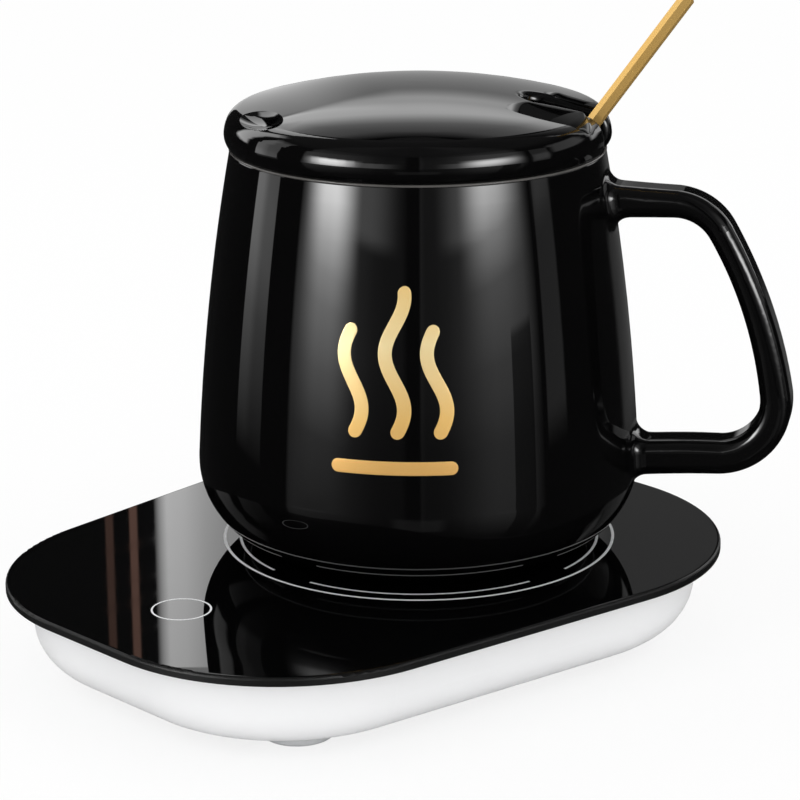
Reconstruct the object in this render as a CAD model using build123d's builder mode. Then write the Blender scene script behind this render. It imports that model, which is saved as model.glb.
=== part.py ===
from build123d import *
from math import asin, cos, degrees, radians, sin, tan
import os

# Mug on a warming plate, with its lid and spoon. Millimetres, +Z up.
# The origin is on the table, under the mug's axis. +X runs along the plate to the mug's end,
# and the touch key is at the other end.

# Glass plate: a rounded trapezoid, wider at the mug's end
TOUCH_END_X = -87.8
HEATER_D = 70.0
MUG_END_MARGIN = 23.1
MUG_END_X = HEATER_D / 2 + MUG_END_MARGIN
TOUCH_END_HALF = 48.3
MUG_END_HALF = 65.0
TOUCH_CORNER_R = 41.0
MUG_CORNER_R = 45.5
PLATE_Y = 1.4
GLASS_T = 1.8
GLASS_EDGE_R = 0.7
TOUCH_X = -65.0

# Housing tub under the glass
GLASS_OVERHANG = 4.4
TUB_H = 16.5
TUB_TAPER = 8.0
TUB_BOTTOM_R = 10.0
TUB_WALL = 2.0
TUB_FLOOR = 2.0
FIT = 0.3

# Feet, and the screws that they cover
FOOT_D = 14.6
FOOT_PROUD = 2.8
FOOT_SUNK = 0.8
FOOT_EDGE_R = 0.8
TOUCH_FOOT_INSET = 31.0
TOUCH_FOOT_HALF = 26.0
MUG_FOOT_INSET = 28.5
MUG_FOOT_IN = 4.5
MUG_FOOT_HALF = HEATER_D / 2 - MUG_FOOT_IN
SCREW_HEAD_D = 5.6
SCREW_HEAD_H = 2.0
SCREW_D = 2.9
SCREW_SLACK = 0.4
SCREW_BITE = 5.0
HEAD_SEAT_T = 2.4
POST_D = 8.5
THREAD_GAP = 0.05

# Panel frame, bonded under the glass
ADHESIVE_T = 0.4
ADHESIVE_W = 6.0
FRAME_T = 2.0
FRAME_LIP_T = 1.5
FRAME_LIP_H = 3.0

# Heater stack under the mug
HEATER_T = 2.0
HEATER_EDGE_GAP = 1.0
FILM_MARGIN = 3.0
FILM_D = HEATER_D - 2 * FILM_MARGIN
FILM_T = 0.6
PAD_MARGIN = 2.0
PAD_D = HEATER_D - 2 * PAD_MARGIN
PAD_T = 3.0
BRACKET_T = 1.0
BRACKET_RIM_H = 2.0
BRACKET_GAP = 0.8
EAR_COUNT = 3
EAR_REACH = 4.0
EAR_R = HEATER_D / 2 + EAR_REACH
EAR_W = 8.0
EAR_TURN = 90.0
EAR_BOSS_D = 6.5
EAR_SCREW_D = 2.4
EAR_SCREW_BITE = 3.6
LEAD_NOTCH_IN = 8.0
LEAD_NOTCH_X = LEAD_NOTCH_IN - FILM_D / 2
LEAD_NOTCH_W = 16.0
CUTOUT_D = 14.0
CUTOUT_H = 5.6
CUTOUT_X = FILM_D / 4
CUTOUT_LUG = (1.0, 4.0, 2.0)
SENSOR_D = 6.0
SENSOR_H = 4.4

# Control board, touch foam and indicator
BOARD_X = -62.0
BOARD_L = 30.0
BOARD_W = 36.0
BOARD_T = 1.6
BOARD_LIFT = 3.6
BOARD_HOLE_L = 23.0
BOARD_HOLE_W = 29.0
BOARD_POST_D = 5.0
BOARD_SCREW_D = 1.9
BOARD_SCREW_BITE = 3.0
BOARD_HEAD_D = 3.8
BOARD_HEAD_H = 1.3
CHIP = (7.0, 7.0, 1.2)
CHIP_Y = -11.0
TERMINAL = (6.0, 24.0, 4.0)
FOAM_D = 11.0
FOAM_BORE = 6.4
LED_SIZE = (3.2, 2.8, 1.2)
LED_LENS_D = 2.4
LED_LENS_H = 0.7

# Power inlet in the mug's end of the tub
INLET_W = 12.0
INLET_H = 8.0
INLET_L = 13.0
INLET_RECESS = 6.5
INLET_LIFT = 2.6
INLET_SETBACK = 5.0
INLET_SHELF_L = 7.0
INLET_BORE = 5.7
INLET_BORE_L = 9.5
INLET_PIN_D = 2.0

# Leads inside the tub
LEAD_D = 1.5
LEAD_FLOOR_GAP = 1.2
LEAD_BEND = 2.2
INLET_LEAD_HALF = 2.5
INLET_LEAD_STUB = 5.0
HEATER_LEAD_HALF = 5.5
HEATER_LEAD_IN = 3.5
HEATER_LEAD_X = HEATER_LEAD_IN - FILM_D / 2

# Mug: heights are above the glass
HANDLE_TURN = -56.3
MUG_H = 83.2
MUG_RIM_R = 38.0
MUG_BELLY_R = 45.7
MUG_CORNER = 17.2
MUG_WALL_LEAN = 3.0
MUG_WALL = 4.8
MUG_FLOOR = 6.0
MUG_FOOT_R = 27.2
MUG_FOOT_W = 3.6
MUG_FOOT_LIFT = 0.5
MUG_FOOT_RECESS = 1.0
RIM_ROUND = 1.0

# Handle: centre line by radius from the mug's axis and height, and its section
HANDLE_ROOT_R = 36.5
HANDLE_TOP_DROP = 9.6
HANDLE_SHOULDER_DROP = 15.1
HANDLE_TOP = (52.6, MUG_H - HANDLE_TOP_DROP)
HANDLE_SHOULDER = (62.2, MUG_H - HANDLE_SHOULDER_DROP)
HANDLE_ELBOW = (73.9, 35.0)
HANDLE_UNDER = (62.5, 21.4)
HANDLE_FOOT = (40.5, 19.6)
HANDLE_ARM_T = 7.2
HANDLE_GRIP_T = 5.2
HANDLE_ELBOW_T = 6.2
HANDLE_W = 9.6
HANDLE_EDGE_R = 2.4
HANDLE_ROOT_FILLET = 3.4

# Lid: a dome on a rolled edge
LID_EDGE_R = 4.0
LID_BAND_R = 7.6
LID_BAND_LOW = 6.0
LID_BAND_HIGH = 23.0
LID_SHOULDER_R = 4.5
LID_R = 39.2
LID_EDGE_Z = 2.7
LID_DOME_TILT = 15.7
LID_T = 4.4
SKIRT_GAP = 0.7
SKIRT_T = 3.6
SKIRT_H = 5.5
SLOT_W = 7.6
SLOT_INNER_R = 25.0
SLOT_LIP_R = 1.6
DIMPLE_TURN = 219.0
DIMPLE_R = 34.8
DIMPLE_DEPTH = 1.5
DIMPLE_SPAN = 15.5
DIMPLE_ROUND = 6.0

# Spoon, leaning out through the lid's slot
SPOON_LEAN = 35.7
SPOON_RIM_R = 31.7
SPOON_ACROSS = 2.7
SPOON_OUT = 38.9
SPOON_REST_GAP = 0.05
SPOON_TURN = 12.0
SPOON_TIP_CHAMFER = 0.6
BOWL_L = 36.0
BOWL_W = 21.0
BOWL_ROUND = 28.0
BOWL_T = 1.2
NECK_L = 6.0

# Levels worked out from the sizes above
TUB_Z = FOOT_PROUD
FLOOR_Z = TUB_Z + TUB_FLOOR
GLASS_Z = TUB_Z + TUB_H
GLASS_TOP = GLASS_Z + GLASS_T
FRAME_TOP = GLASS_Z - ADHESIVE_T
FRAME_Z = FRAME_TOP - FRAME_T
HEATER_Z = GLASS_Z - HEATER_T
FILM_Z = HEATER_Z - FILM_T
PAD_Z = FILM_Z - PAD_T
BRACKET_Z = PAD_Z - BRACKET_T
FOOT_TOP = FOOT_PROUD + FOOT_SUNK
HEAD_TOP = FOOT_TOP + FIT + SCREW_HEAD_H
POST_Z = HEAD_TOP + HEAD_SEAT_T
BOARD_Z = FLOOR_Z + BOARD_LIFT
BOARD_TOP = BOARD_Z + BOARD_T
FRAME_INSET = GLASS_OVERHANG + TUB_WALL + FIT + (ADHESIVE_T + FRAME_T) * tan(radians(TUB_TAPER))
FOOT_PLACES = [
    (TOUCH_END_X + TOUCH_FOOT_INSET, PLATE_Y - TOUCH_FOOT_HALF),
    (TOUCH_END_X + TOUCH_FOOT_INSET, PLATE_Y + TOUCH_FOOT_HALF),
    (MUG_END_X - MUG_FOOT_INSET, PLATE_Y - MUG_FOOT_HALF),
    (MUG_END_X - MUG_FOOT_INSET, PLATE_Y + MUG_FOOT_HALF),
]

# Upright planes through the mug's axis, on the handle's side and opposite it:
# x is the radius and y is the height above the glass
TURN = radians(HANDLE_TURN)
OUT = Vector(cos(TURN), sin(TURN), 0)
ACROSS = Vector(sin(TURN), -cos(TURN), 0)
HANDLE_PLANE = Plane(origin=(0, 0, GLASS_TOP), x_dir=OUT, z_dir=ACROSS)
PROFILE_PLANE = Plane(origin=(0, 0, GLASS_TOP), x_dir=-OUT, z_dir=-ACROSS)


def plate_outline(inset, z):
    """The plate's rounded trapezoid, drawn in by inset, at height z."""
    with BuildSketch(Plane.XY.offset(z)) as outline:
        with BuildLine():
            Polyline(
                (TOUCH_END_X, PLATE_Y - TOUCH_END_HALF),
                (MUG_END_X, PLATE_Y - MUG_END_HALF),
                (MUG_END_X, PLATE_Y + MUG_END_HALF),
                (TOUCH_END_X, PLATE_Y + TOUCH_END_HALF),
                close=True,
            )
        make_face()
        fillet(outline.vertices().group_by(Axis.X)[0], radius=TOUCH_CORNER_R)
        fillet(outline.vertices().group_by(Axis.X)[-1], radius=MUG_CORNER_R)
        if inset > 0:
            offset(amount=-inset)
    return outline.sketch


def save(piece, name):
    """Label a finished piece and write it as one STEP file."""
    piece.label = name
    export_step(piece, f"parts/{name}.step")


os.makedirs("parts", exist_ok=True)

# Glass plate, with its edge rounded over
with BuildPart() as glass_plate:
    extrude(plate_outline(0, GLASS_Z), amount=GLASS_T)
    fillet(glass_plate.edges().group_by(Axis.Z)[-1], radius=GLASS_EDGE_R)
save(glass_plate.part, "glass_plate")

# Adhesive ring between the frame and the glass
with BuildPart() as glass_adhesive:
    extrude(plate_outline(FRAME_INSET, FRAME_TOP), amount=ADHESIVE_T)
    extrude(plate_outline(FRAME_INSET + ADHESIVE_W, FRAME_TOP), amount=ADHESIVE_T, mode=Mode.SUBTRACT)
save(glass_adhesive.part, "glass_adhesive")

# Panel frame: a flat ring with posts for the housing screws and bosses for the heater bracket
with BuildPart() as panel_frame:
    extrude(plate_outline(FRAME_INSET, FRAME_Z), amount=FRAME_T)
    with BuildSketch(Plane.XY.offset(FRAME_Z - FRAME_LIP_H)):
        Circle(HEATER_D / 2 + HEATER_EDGE_GAP + FRAME_LIP_T)
    extrude(amount=FRAME_LIP_H)
    with BuildSketch(Plane.XY.offset(POST_Z)):
        with Locations(*FOOT_PLACES):
            Circle(POST_D / 2)
    extrude(amount=FRAME_TOP - POST_Z)
    with BuildSketch(Plane.XY.offset(PAD_Z)):
        with PolarLocations(EAR_R, EAR_COUNT, start_angle=EAR_TURN):
            Circle(EAR_BOSS_D / 2)
    extrude(amount=FRAME_Z - PAD_Z)
    with BuildSketch(Plane.XY.offset(PAD_Z)):
        Circle(HEATER_D / 2 + HEATER_EDGE_GAP)
        with Locations((TOUCH_X, 0)):
            Circle(FOAM_D / 2 + FIT)
    extrude(amount=FRAME_TOP - PAD_Z, mode=Mode.SUBTRACT)
    with BuildSketch(Plane.XY.offset(POST_Z)):
        with Locations(*FOOT_PLACES):
            Circle(SCREW_D / 2 + THREAD_GAP)
    extrude(amount=SCREW_BITE, mode=Mode.SUBTRACT)
    with BuildSketch(Plane.XY.offset(PAD_Z)):
        with PolarLocations(EAR_R, EAR_COUNT, start_angle=EAR_TURN):
            Circle(EAR_SCREW_D / 2 + THREAD_GAP)
    extrude(amount=EAR_SCREW_BITE, mode=Mode.SUBTRACT)
save(panel_frame.part, "panel_frame")

# Housing tub: tapered walls on a large bottom round, hollow, with posts, foot recesses
# and the inlet's window
INLET_FACE_X = MUG_END_X - INLET_RECESS
INLET_Z = FLOOR_Z + INLET_LIFT
with BuildPart() as tub_hollow:
    extrude(plate_outline(GLASS_OVERHANG + TUB_WALL, GLASS_Z), amount=TUB_FLOOR - TUB_H, taper=TUB_TAPER)
    fillet(tub_hollow.edges().group_by(Axis.Z)[0], radius=TUB_BOTTOM_R - TUB_WALL)
with BuildPart() as housing_tub:
    extrude(plate_outline(GLASS_OVERHANG, GLASS_Z), amount=-TUB_H, taper=TUB_TAPER)
    fillet(housing_tub.edges().group_by(Axis.Z)[0], radius=TUB_BOTTOM_R)
    add(tub_hollow.part, mode=Mode.SUBTRACT)
    with BuildSketch(Plane.XY.offset(FLOOR_Z)):
        with Locations(*FOOT_PLACES):
            Circle(POST_D / 2)
    extrude(amount=POST_Z - FLOOR_Z)
    with BuildSketch(Plane.XY.offset(FLOOR_Z)):
        with Locations((BOARD_X, 0)):
            with GridLocations(BOARD_HOLE_L, BOARD_HOLE_W, 2, 2):
                Circle(BOARD_POST_D / 2)
    extrude(amount=BOARD_LIFT)
    with BuildSketch(Plane.XY.offset(FLOOR_Z)):
        with Locations((INLET_FACE_X - INLET_SETBACK - INLET_SHELF_L / 2, 0)):
            Rectangle(INLET_SHELF_L, INLET_W)
    extrude(amount=INLET_LIFT)
    with BuildSketch(Plane.XY.offset(TUB_Z)):
        with Locations(*FOOT_PLACES):
            Circle(FOOT_D / 2 + FIT)
    extrude(amount=FOOT_SUNK, mode=Mode.SUBTRACT)
    with BuildSketch(Plane.XY.offset(FOOT_TOP)):
        with Locations(*FOOT_PLACES):
            Circle((SCREW_HEAD_D + SCREW_SLACK) / 2)
    extrude(amount=HEAD_TOP - FOOT_TOP, mode=Mode.SUBTRACT)
    with BuildSketch(Plane.XY.offset(HEAD_TOP)):
        with Locations(*FOOT_PLACES):
            Circle((SCREW_D + SCREW_SLACK) / 2)
    extrude(amount=HEAD_SEAT_T, mode=Mode.SUBTRACT)
    with BuildSketch(Plane.XY.offset(BOARD_Z)):
        with Locations((BOARD_X, 0)):
            with GridLocations(BOARD_HOLE_L, BOARD_HOLE_W, 2, 2):
                Circle(BOARD_SCREW_D / 2 + THREAD_GAP)
    extrude(amount=-BOARD_SCREW_BITE, mode=Mode.SUBTRACT)
    with BuildSketch(Plane.XY.offset(INLET_Z)):
        with Locations((INLET_FACE_X - INLET_L / 2, 0)):
            Rectangle(INLET_L + 2 * FIT, INLET_W + 2 * FIT)
        with Locations((MUG_END_X - INLET_RECESS / 2, 0)):
            Rectangle(INLET_RECESS + 2 * FIT, INLET_W + 2 * FIT)
    extrude(amount=INLET_H + FIT, mode=Mode.SUBTRACT)
save(housing_tub.part, "housing_tub")

# Feet: soft pads in shallow recesses over the housing screws
for number, place in enumerate(FOOT_PLACES, start=1):
    with BuildPart(Plane.XY) as foot:
        with BuildSketch():
            with Locations(place):
                Circle(FOOT_D / 2)
        extrude(amount=FOOT_TOP)
        fillet(foot.edges().group_by(Axis.Z)[0], radius=FOOT_EDGE_R)
    save(foot.part, f"foot_{number}")

# Housing screws, up through the tub's posts into the frame's posts
with BuildPart() as housing_screws:
    with BuildSketch(Plane.XY.offset(HEAD_TOP - SCREW_HEAD_H)):
        with Locations(*FOOT_PLACES):
            Circle(SCREW_HEAD_D / 2)
    extrude(amount=SCREW_HEAD_H)
    with BuildSketch(Plane.XY.offset(HEAD_TOP)):
        with Locations(*FOOT_PLACES):
            Circle(SCREW_D / 2)
    extrude(amount=HEAD_SEAT_T + SCREW_BITE - FIT)
save(housing_screws.part, "housing_screws")

# Heat spreader, bonded to the underside of the glass
with BuildPart() as heater_plate:
    with BuildSketch(Plane.XY.offset(HEATER_Z)):
        Circle(HEATER_D / 2)
    extrude(amount=HEATER_T)
save(heater_plate.part, "heater_plate")

# Heating film
with BuildPart() as heating_film:
    with BuildSketch(Plane.XY.offset(FILM_Z)):
        Circle(FILM_D / 2)
    extrude(amount=FILM_T)
save(heating_film.part, "heating_film")


def stack_openings():
    """Openings through the pad and the bracket: cut-out, sensor and the notch for the leads."""
    with Locations((CUTOUT_X, 0)):
        Circle(CUTOUT_D / 2 + FIT, mode=Mode.SUBTRACT)
    Circle(SENSOR_D / 2 + FIT, mode=Mode.SUBTRACT)
    with Locations((LEAD_NOTCH_X - PAD_D / 2, 0)):
        Rectangle(PAD_D, LEAD_NOTCH_W, mode=Mode.SUBTRACT)


# Insulation pad
with BuildPart() as insulation_pad:
    with BuildSketch(Plane.XY.offset(PAD_Z)):
        Circle(PAD_D / 2)
        stack_openings()
    extrude(amount=PAD_T)
save(insulation_pad.part, "insulation_pad")

# Heater bracket: a shallow pressed dish with three ears
BRACKET_BORE_R = PAD_D / 2 + BRACKET_GAP
with BuildPart() as heater_bracket:
    with BuildSketch(Plane.XY.offset(BRACKET_Z)):
        Circle(BRACKET_BORE_R + BRACKET_T)
        with PolarLocations(EAR_R / 2, EAR_COUNT, start_angle=EAR_TURN):
            Rectangle(EAR_R, EAR_W)
        with PolarLocations(EAR_R, EAR_COUNT, start_angle=EAR_TURN):
            Circle(EAR_W / 2)
        stack_openings()
        with PolarLocations(EAR_R, EAR_COUNT, start_angle=EAR_TURN):
            Circle((EAR_SCREW_D + SCREW_SLACK) / 2, mode=Mode.SUBTRACT)
    extrude(amount=BRACKET_T)
    with BuildSketch(Plane.XY.offset(PAD_Z)):
        Circle(BRACKET_BORE_R + BRACKET_T)
        Circle(BRACKET_BORE_R, mode=Mode.SUBTRACT)
        with Locations((LEAD_NOTCH_X - PAD_D / 2, 0)):
            Rectangle(PAD_D, LEAD_NOTCH_W, mode=Mode.SUBTRACT)
    extrude(amount=BRACKET_RIM_H)
save(heater_bracket.part, "heater_bracket")

# Bracket screws, up through the ears into the frame's bosses
with BuildPart() as bracket_screws:
    with BuildSketch(Plane.XY.offset(BRACKET_Z)):
        with PolarLocations(EAR_R, EAR_COUNT, start_angle=EAR_TURN):
            Circle(SCREW_HEAD_D / 2)
    extrude(amount=-SCREW_HEAD_H)
    with BuildSketch(Plane.XY.offset(BRACKET_Z)):
        with PolarLocations(EAR_R, EAR_COUNT, start_angle=EAR_TURN):
            Circle(EAR_SCREW_D / 2)
    extrude(amount=BRACKET_T + EAR_SCREW_BITE - FIT)
save(bracket_screws.part, "bracket_screws")

# Thermal cut-out: a flat can against the film, with two lugs
with BuildPart() as thermal_cutout:
    with BuildSketch(Plane.XY.offset(FILM_Z)):
        with Locations((CUTOUT_X, 0)):
            Circle(CUTOUT_D / 2)
    extrude(amount=-CUTOUT_H)
    with BuildSketch(Plane.XY.offset(FILM_Z - CUTOUT_H)):
        with Locations((CUTOUT_X, 0)):
            with GridLocations(CUTOUT_D / 2, 0, 2, 1):
                Rectangle(CUTOUT_LUG[0], CUTOUT_LUG[1])
    extrude(amount=-CUTOUT_LUG[2])
save(thermal_cutout.part, "thermal_cutout")

# Temperature sensor: a small cup at the middle of the film
with BuildPart() as temperature_sensor:
    with BuildSketch(Plane.XY.offset(FILM_Z)):
        Circle(SENSOR_D / 2)
    extrude(amount=-SENSOR_H)
    fillet(temperature_sensor.edges().group_by(Axis.Z)[0], radius=SENSOR_D / 6)
save(temperature_sensor.part, "temperature_sensor")

# Control board, with its chip and its terminal block
TERMINAL_X = BOARD_X + BOARD_L / 2 - TERMINAL[0] / 2
with BuildPart() as control_board:
    with BuildSketch(Plane.XY.offset(BOARD_Z)):
        with Locations((BOARD_X, 0)):
            Rectangle(BOARD_L, BOARD_W)
            with GridLocations(BOARD_HOLE_L, BOARD_HOLE_W, 2, 2):
                Circle((BOARD_SCREW_D + SCREW_SLACK) / 2, mode=Mode.SUBTRACT)
    extrude(amount=BOARD_T)
    with BuildSketch(Plane.XY.offset(BOARD_TOP)):
        with Locations((BOARD_X, CHIP_Y)):
            Rectangle(CHIP[0], CHIP[1])
    extrude(amount=CHIP[2])
    with BuildSketch(Plane.XY.offset(BOARD_TOP)):
        with Locations((TERMINAL_X, 0)):
            Rectangle(TERMINAL[0], TERMINAL[1])
    extrude(amount=TERMINAL[2])
save(control_board.part, "control_board")

# Board screws
with BuildPart() as board_screws:
    with BuildSketch(Plane.XY.offset(BOARD_TOP)):
        with Locations((BOARD_X, 0)):
            with GridLocations(BOARD_HOLE_L, BOARD_HOLE_W, 2, 2):
                Circle(BOARD_HEAD_D / 2)
    extrude(amount=BOARD_HEAD_H)
    with BuildSketch(Plane.XY.offset(BOARD_TOP)):
        with Locations((BOARD_X, 0)):
            with GridLocations(BOARD_HOLE_L, BOARD_HOLE_W, 2, 2):
                Circle(BOARD_SCREW_D / 2)
    extrude(amount=FIT - BOARD_T - BOARD_SCREW_BITE)
save(board_screws.part, "board_screws")

# Conductive foam ring that carries the touch key's signal from the glass to the board
with BuildPart() as touch_foam:
    with BuildSketch(Plane.XY.offset(BOARD_TOP)):
        with Locations((TOUCH_X, 0)):
            Circle(FOAM_D / 2)
            Circle(FOAM_BORE / 2, mode=Mode.SUBTRACT)
    extrude(amount=GLASS_Z - BOARD_TOP)
save(touch_foam.part, "touch_foam")

# Indicator inside the foam ring
with BuildPart() as indicator_led:
    with BuildSketch(Plane.XY.offset(BOARD_TOP)):
        with Locations((TOUCH_X, 0)):
            Rectangle(LED_SIZE[0], LED_SIZE[1])
    extrude(amount=LED_SIZE[2])
    with BuildSketch(Plane.XY.offset(BOARD_TOP + LED_SIZE[2])):
        with Locations((TOUCH_X, 0)):
            Circle(LED_LENS_D / 2)
    extrude(amount=LED_LENS_H)
    fillet(indicator_led.edges().group_by(Axis.Z)[-1], radius=LED_LENS_H / 2)
save(indicator_led.part, "indicator_led")

# Power inlet: a socket block with a centre pin, standing in the tub's window
INLET_BACK_X = INLET_FACE_X - INLET_L
INLET_MID_Z = INLET_Z + INLET_H / 2
with BuildPart() as power_inlet:
    with BuildSketch(Plane.XY.offset(INLET_Z)):
        with Locations((INLET_FACE_X - INLET_L / 2, 0)):
            Rectangle(INLET_L, INLET_W)
    extrude(amount=INLET_H)
    with BuildSketch(Plane(origin=(INLET_FACE_X, 0, INLET_MID_Z), x_dir=(0, 1, 0), z_dir=(1, 0, 0))):
        Circle(INLET_BORE / 2)
        Circle(INLET_PIN_D / 2, mode=Mode.SUBTRACT)
    extrude(amount=-INLET_BORE_L, mode=Mode.SUBTRACT)
save(power_inlet.part, "power_inlet")


def lead(points, bend):
    """One insulated wire along straight runs joined by arcs."""
    with BuildPart() as wire:
        with BuildLine() as route:
            FilletPolyline(*points, radius=bend)
        with BuildSketch(Plane(origin=route.line @ 0, z_dir=route.line % 0)):
            Circle(LEAD_D / 2)
        sweep(path=route.line)
    return wire.part


# Inlet leads: along the tub's floor, from the inlet to the board's terminals
LEAD_Z = FLOOR_Z + LEAD_FLOOR_GAP
TERMINAL_FACE_X = TERMINAL_X + TERMINAL[0] / 2
TERMINAL_MID_Z = BOARD_TOP + TERMINAL[2] / 2
with BuildPart() as inlet_leads:
    for side in (-INLET_LEAD_HALF, INLET_LEAD_HALF):
        add(
            lead(
                [
                    (INLET_BACK_X, side, INLET_MID_Z),
                    (INLET_BACK_X - INLET_LEAD_STUB, side, INLET_MID_Z),
                    (INLET_BACK_X - INLET_LEAD_STUB, side, LEAD_Z),
                    (TERMINAL_FACE_X + INLET_LEAD_STUB, side, LEAD_Z),
                    (TERMINAL_FACE_X + INLET_LEAD_STUB, side, TERMINAL_MID_Z),
                    (TERMINAL_FACE_X, side, TERMINAL_MID_Z),
                ],
                LEAD_BEND,
            )
        )
save(inlet_leads.part, "inlet_leads")

# Heater leads: from the board's terminals up to the film
with BuildPart() as heater_leads:
    for side in (-HEATER_LEAD_HALF, HEATER_LEAD_HALF):
        add(
            lead(
                [
                    (TERMINAL_FACE_X, side, TERMINAL_MID_Z),
                    (HEATER_LEAD_X, side, TERMINAL_MID_Z),
                    (HEATER_LEAD_X, side, FILM_Z),
                ],
                LEAD_BEND,
            )
        )
save(heater_leads.part, "heater_leads")

# Mug: a bellied cup on a foot ring, with the handle swept and blended into its wall
CORNER_X = MUG_BELLY_R - MUG_CORNER
CORNER_Z = MUG_FOOT_LIFT + MUG_CORNER
INNER_CORNER = MUG_CORNER - MUG_WALL
with BuildLine() as handle_route:
    arm = Line((HANDLE_ROOT_R, HANDLE_TOP[1]), HANDLE_TOP)
    shoulder = TangentArc(HANDLE_TOP, HANDLE_SHOULDER, tangent=(1, 0))
    grip = TangentArc(HANDLE_SHOULDER, HANDLE_ELBOW, tangent=shoulder % 1)
    elbow = TangentArc(HANDLE_ELBOW, HANDLE_UNDER, tangent=grip % 1)
    lower_arm = TangentArc(HANDLE_UNDER, HANDLE_FOOT, tangent=elbow % 1)


def handle_section(run, part_way, thickness):
    """The handle's section across one run of its centre line."""
    at, along = run @ part_way, run % part_way
    middle = OUT * at.X + Vector(0, 0, GLASS_TOP + at.Y)
    heading = OUT * along.X + Vector(0, 0, along.Y)
    with BuildSketch(Plane(origin=middle, x_dir=ACROSS, z_dir=heading)) as section:
        RectangleRounded(HANDLE_W, thickness, HANDLE_EDGE_R)
    return section.sketch


handle_sections = [
    handle_section(arm, 0, HANDLE_ARM_T),
    handle_section(grip, 0, HANDLE_GRIP_T),
    handle_section(grip, 1, HANDLE_ELBOW_T),
    handle_section(lower_arm, 1, HANDLE_ARM_T),
]
with BuildPart() as mug:
    with BuildSketch(PROFILE_PLANE):
        with BuildLine():
            Line((0, MUG_FOOT_LIFT), (CORNER_X, MUG_FOOT_LIFT))
            corner = CenterArc((CORNER_X, CORNER_Z), MUG_CORNER, -90, 90 + MUG_WALL_LEAN)
            wall = TangentArc(corner @ 1, (MUG_RIM_R, MUG_H), tangent=corner % 1)
            Polyline(wall @ 1, (0, MUG_H), (0, MUG_FOOT_LIFT))
        make_face()
    revolve(axis=Axis.Z)
    sweep(handle_sections, path=handle_route.line.moved(HANDLE_PLANE.location), multisection=True)
    fillet(mug.edges(Select.NEW), radius=HANDLE_ROOT_FILLET)
    with BuildSketch(PROFILE_PLANE):
        with BuildLine():
            Line((0, MUG_FLOOR), (CORNER_X, MUG_FLOOR))
            corner = CenterArc((CORNER_X, MUG_FLOOR + INNER_CORNER), INNER_CORNER, -90, 90 + MUG_WALL_LEAN)
            wall = TangentArc(corner @ 1, (MUG_RIM_R - MUG_WALL, MUG_H), tangent=corner % 1)
            Polyline(wall @ 1, (0, MUG_H), (0, MUG_FLOOR))
        make_face()
    revolve(axis=Axis.Z, mode=Mode.SUBTRACT)
    fillet(mug.edges().filter_by(GeomType.CIRCLE).group_by(Axis.Z)[-1], radius=RIM_ROUND)
    with BuildSketch(Plane.XY.offset(GLASS_TOP)):
        Circle(MUG_FOOT_R)
        Circle(MUG_FOOT_R - MUG_FOOT_W, mode=Mode.SUBTRACT)
    extrude(amount=MUG_FOOT_RECESS)
    with BuildSketch(Plane.XY.offset(GLASS_TOP)):
        Circle(MUG_FOOT_R - MUG_FOOT_W)
    extrude(amount=MUG_FOOT_RECESS, mode=Mode.SUBTRACT)
save(mug.part, "mug")

# Lid: a dome on a rolled edge, with a locating skirt, the spoon's slot and a thumb recess
DOME = radians(LID_DOME_TILT)
EDGE_Z = MUG_H + LID_EDGE_Z
EDGE_AT = Vector(LID_R - LID_EDGE_R, EDGE_Z)
BAND_AT = EDGE_AT + Vector(LID_EDGE_R - LID_BAND_R, 0).rotate(Axis.Z, LID_BAND_LOW)
SHOULDER_AT = BAND_AT + Vector(LID_BAND_R - LID_SHOULDER_R, 0).rotate(Axis.Z, LID_BAND_HIGH)
DOME_END = SHOULDER_AT + Vector(LID_SHOULDER_R * sin(DOME), LID_SHOULDER_R * cos(DOME))
DOME_R = DOME_END.X / sin(DOME)
DOME_Z = DOME_END.Y - DOME_R * cos(DOME)
SEAT_R = EDGE_AT.X + (LID_EDGE_R**2 - LID_EDGE_Z**2) ** 0.5
SEAT_TILT = degrees(asin(LID_EDGE_Z / LID_EDGE_R))
SKIRT_R = MUG_RIM_R - MUG_WALL - SKIRT_GAP
CEILING_R = SKIRT_R - SKIRT_T
CEILING_Z = DOME_Z + ((DOME_R - LID_T) ** 2 - CEILING_R**2) ** 0.5
dimple_turn = TURN + radians(DIMPLE_TURN)
dimple_out = Vector(cos(dimple_turn), sin(dimple_turn), 0)
dimple_up = (dimple_out * DIMPLE_R + Vector(0, 0, (DOME_R**2 - DIMPLE_R**2) ** 0.5)).normalized()
dimple_at = Vector(0, 0, GLASS_TOP + DOME_Z) + dimple_up * (DOME_R + DIMPLE_ROUND - DIMPLE_DEPTH)
dimple_across = dimple_out.cross(Vector(0, 0, 1))
dimple_plane = Plane(origin=dimple_at, x_dir=dimple_across, z_dir=dimple_across.cross(dimple_up))
slot_plane = Plane(origin=(0, 0, GLASS_TOP + MUG_H - 2 * SKIRT_H), x_dir=OUT, z_dir=(0, 0, 1))
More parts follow.
